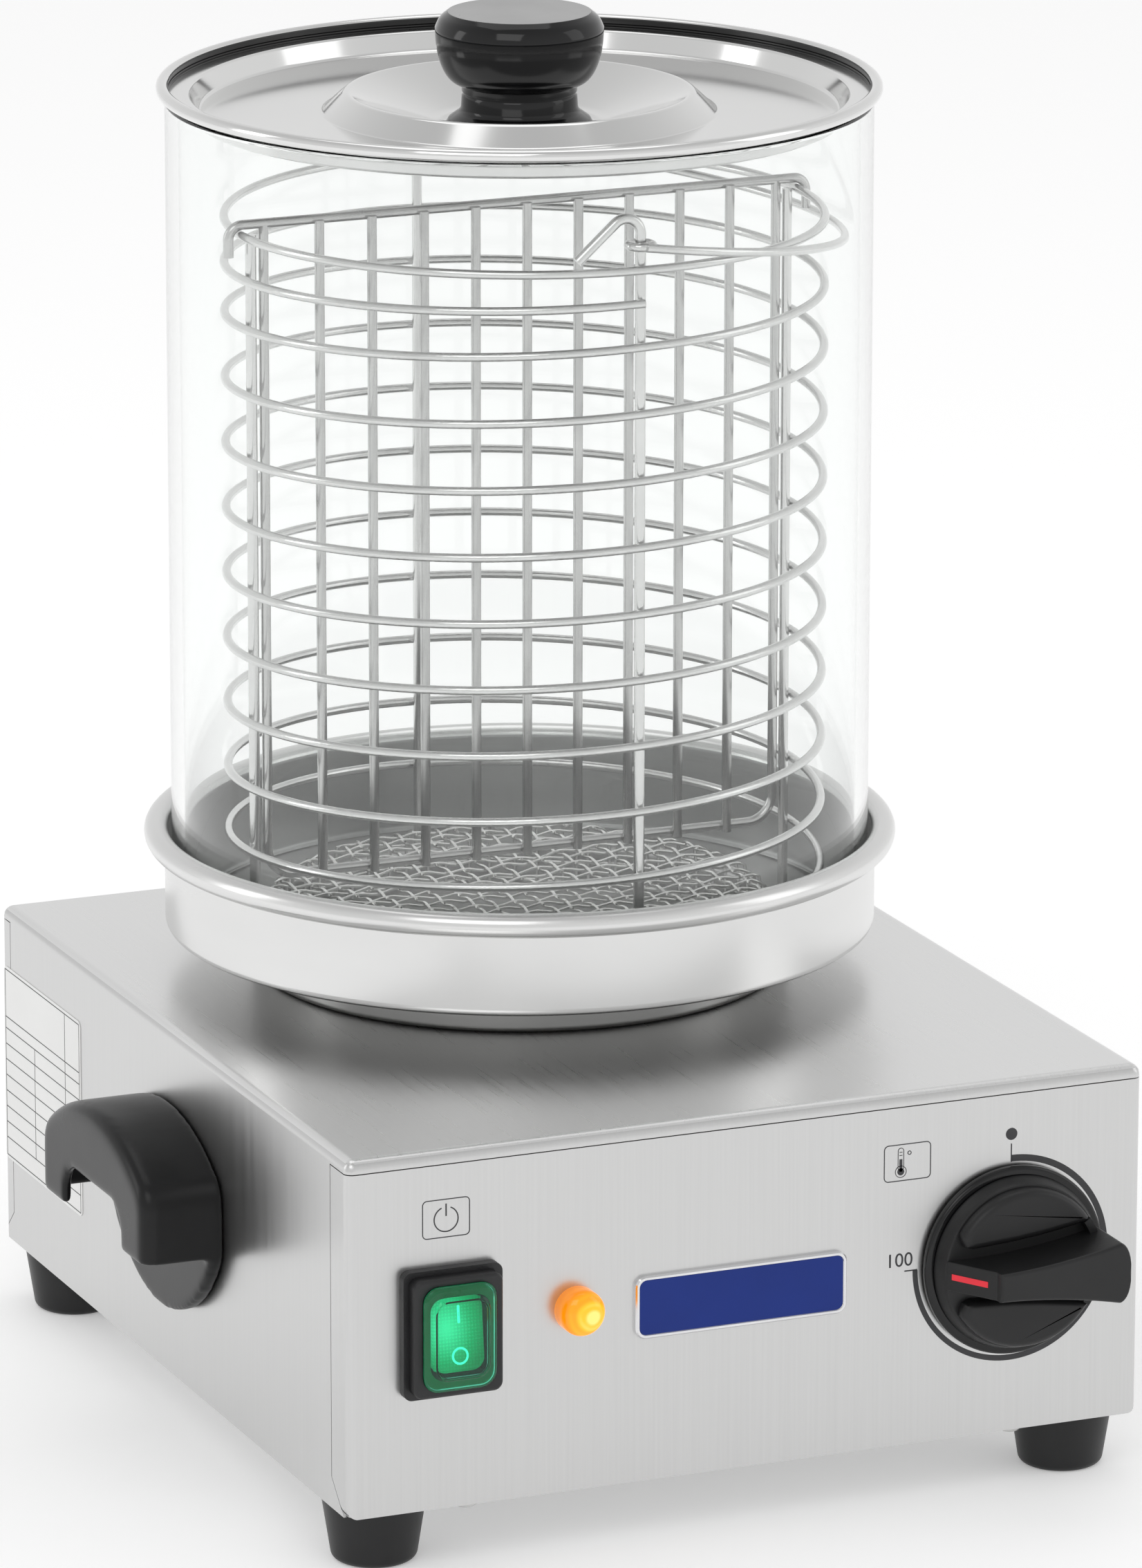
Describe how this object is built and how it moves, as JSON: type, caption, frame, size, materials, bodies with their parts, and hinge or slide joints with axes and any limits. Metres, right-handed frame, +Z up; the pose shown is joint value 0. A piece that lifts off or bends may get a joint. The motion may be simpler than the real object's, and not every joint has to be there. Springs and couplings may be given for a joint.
{
  "type": "hot dog steamer",
  "caption": "Counter-top sausage steamer: heated sheet-steel base with round water pan, glass cylinder, wire basket with divider, and recessed lid with knob.",
  "frame": {"origin": "on the bench under the feet, at the middle of the bounding box", "axes": "+Z up, -Y to the front panel with the controls, +X to the right seen from the front"},
  "size_m": [0.287, 0.3254, 0.397],
  "materials": {
    "casing_steel": "fine vertical brushing",
    "pan_steel": "polished stainless, satin inside",
    "lid_steel": "polished pressed stainless",
    "mesh_steel": "woven wire",
    "wire_steel": "bright drawn wire",
    "clear_glass": "clear borosilicate tube, polished edges",
    "black_gloss": "gloss black phenolic",
    "black_satin": "fine-textured satin black",
    "black_rubber": "moulded rubber",
    "screw_steel": "zinc-plated",
    "label_white": "blank ruled sticker",
    "heater_cast": "machined casting",
    "element_sheath": "heat-tinted sheath",
    "white_ceramic": "off-white steatite",
    "gland_black": "black nylon",
    "switch_green": "clear green splash cover",
    "rocker_green": "lit green",
    "lamp_amber": "amber lens",
    "lamp_case": "nylon barrel",
    "badge_blue": "plain blue plate",
    "thermostat_case": "plated steel case",
    "brass_nut": "turned brass",
    "pointer_red": "red inlay"
  },
  "bodies": {
    "base": {"body_shell": "casing_steel", "front_panel": "casing_steel", "rear_panel": "casing_steel", "bottom_plate": "casing_steel", "foot_1": "black_rubber", "foot_2": "black_rubber", "foot_3": "black_rubber", "foot_4": "black_rubber", "foot_screw_1": "screw_steel", "foot_screw_2": "screw_steel", "foot_screw_3": "screw_steel", "foot_screw_4": "screw_steel", "panel_screw_1": "screw_steel", "panel_screw_2": "screw_steel", "handle_left": "black_satin", "handle_right": "black_satin", "handle_screw_1": "screw_steel", "handle_screw_2": "screw_steel", "handle_screw_3": "screw_steel", "handle_screw_4": "screw_steel", "side_label": "label_white", "heater_plate": "heater_cast", "heating_element": "element_sheath", "element_clamp": "screw_steel", "clamp_nut": "screw_steel", "thermal_cutout": "white_ceramic", "sensing_bulb": "element_sheath", "cable_gland": "gland_black", "gland_nut": "gland_black", "terminal_block": "white_ceramic", "switch_housing": "black_gloss", "switch_boot": "switch_green", "lamp_body": "lamp_case", "lamp_lens": "lamp_amber", "badge": "badge_blue", "thermostat": "thermostat_case", "thermostat_nut": "brass_nut"},
    "knob": {"control_knob": "black_satin", "knob_skirt": "black_gloss", "knob_pointer": "pointer_red", "thermostat_shaft": "screw_steel"},
    "rocker": {"switch_rocker": "rocker_green"},
    "pan": {"water_pan": "pan_steel", "mesh_disc": "mesh_steel"},
    "glass": {"glass_cylinder": "clear_glass"},
    "lid": {"lid": "lid_steel", "lid_knob": "black_gloss", "lid_screw": "screw_steel"},
    "basket": {"basket_helix": "wire_steel", "basket_ring": "wire_steel", "basket_post_front": "wire_steel", "basket_post_rear": "wire_steel", "basket_post_left": "wire_steel", "basket_post_right": "wire_steel", "basket_bail": "wire_steel"},
    "divider": {"divider": "wire_steel"}
  },
  "joints": [
    {"name": "pan_lift", "type": "slide", "parent": "base", "child": "pan", "axis": [0, 0, 1], "range_m": [0, 0.06]},
    {"name": "glass_lift", "type": "slide", "parent": "pan", "child": "glass", "axis": [0, 0, 1], "range_m": [0, 0.26]},
    {"name": "lid_lift", "type": "slide", "parent": "glass", "child": "lid", "axis": [0, 0, 1], "range_m": [0, 0.48]},
    {"name": "basket_lift", "type": "slide", "parent": "pan", "child": "basket", "axis": [0, 0, 1], "range_m": [0, 0.25]},
    {"name": "divider_lift", "type": "slide", "parent": "basket", "child": "divider", "axis": [0, 0, 1], "range_m": [0, 0.202]},
    {"name": "knob_turn", "type": "hinge", "parent": "base", "child": "knob", "pos_m": [0.0791, -0.1377, 0.0685], "axis": [0, 1, 0], "range_deg": [-270, 0]},
    {"name": "rocker_tilt", "type": "hinge", "parent": "base", "child": "rocker", "pos_m": [-0.0893, -0.1401, 0.0693], "axis": [1, 0, 0], "range_deg": [0, 13.12]}
  ],
  "couplings": [
    {"joint": "basket_lift", "follows": "lid_lift", "ratio": 0.52},
    {"joint": "divider_lift", "follows": "lid_lift", "ratio": 0.42}
  ]
}
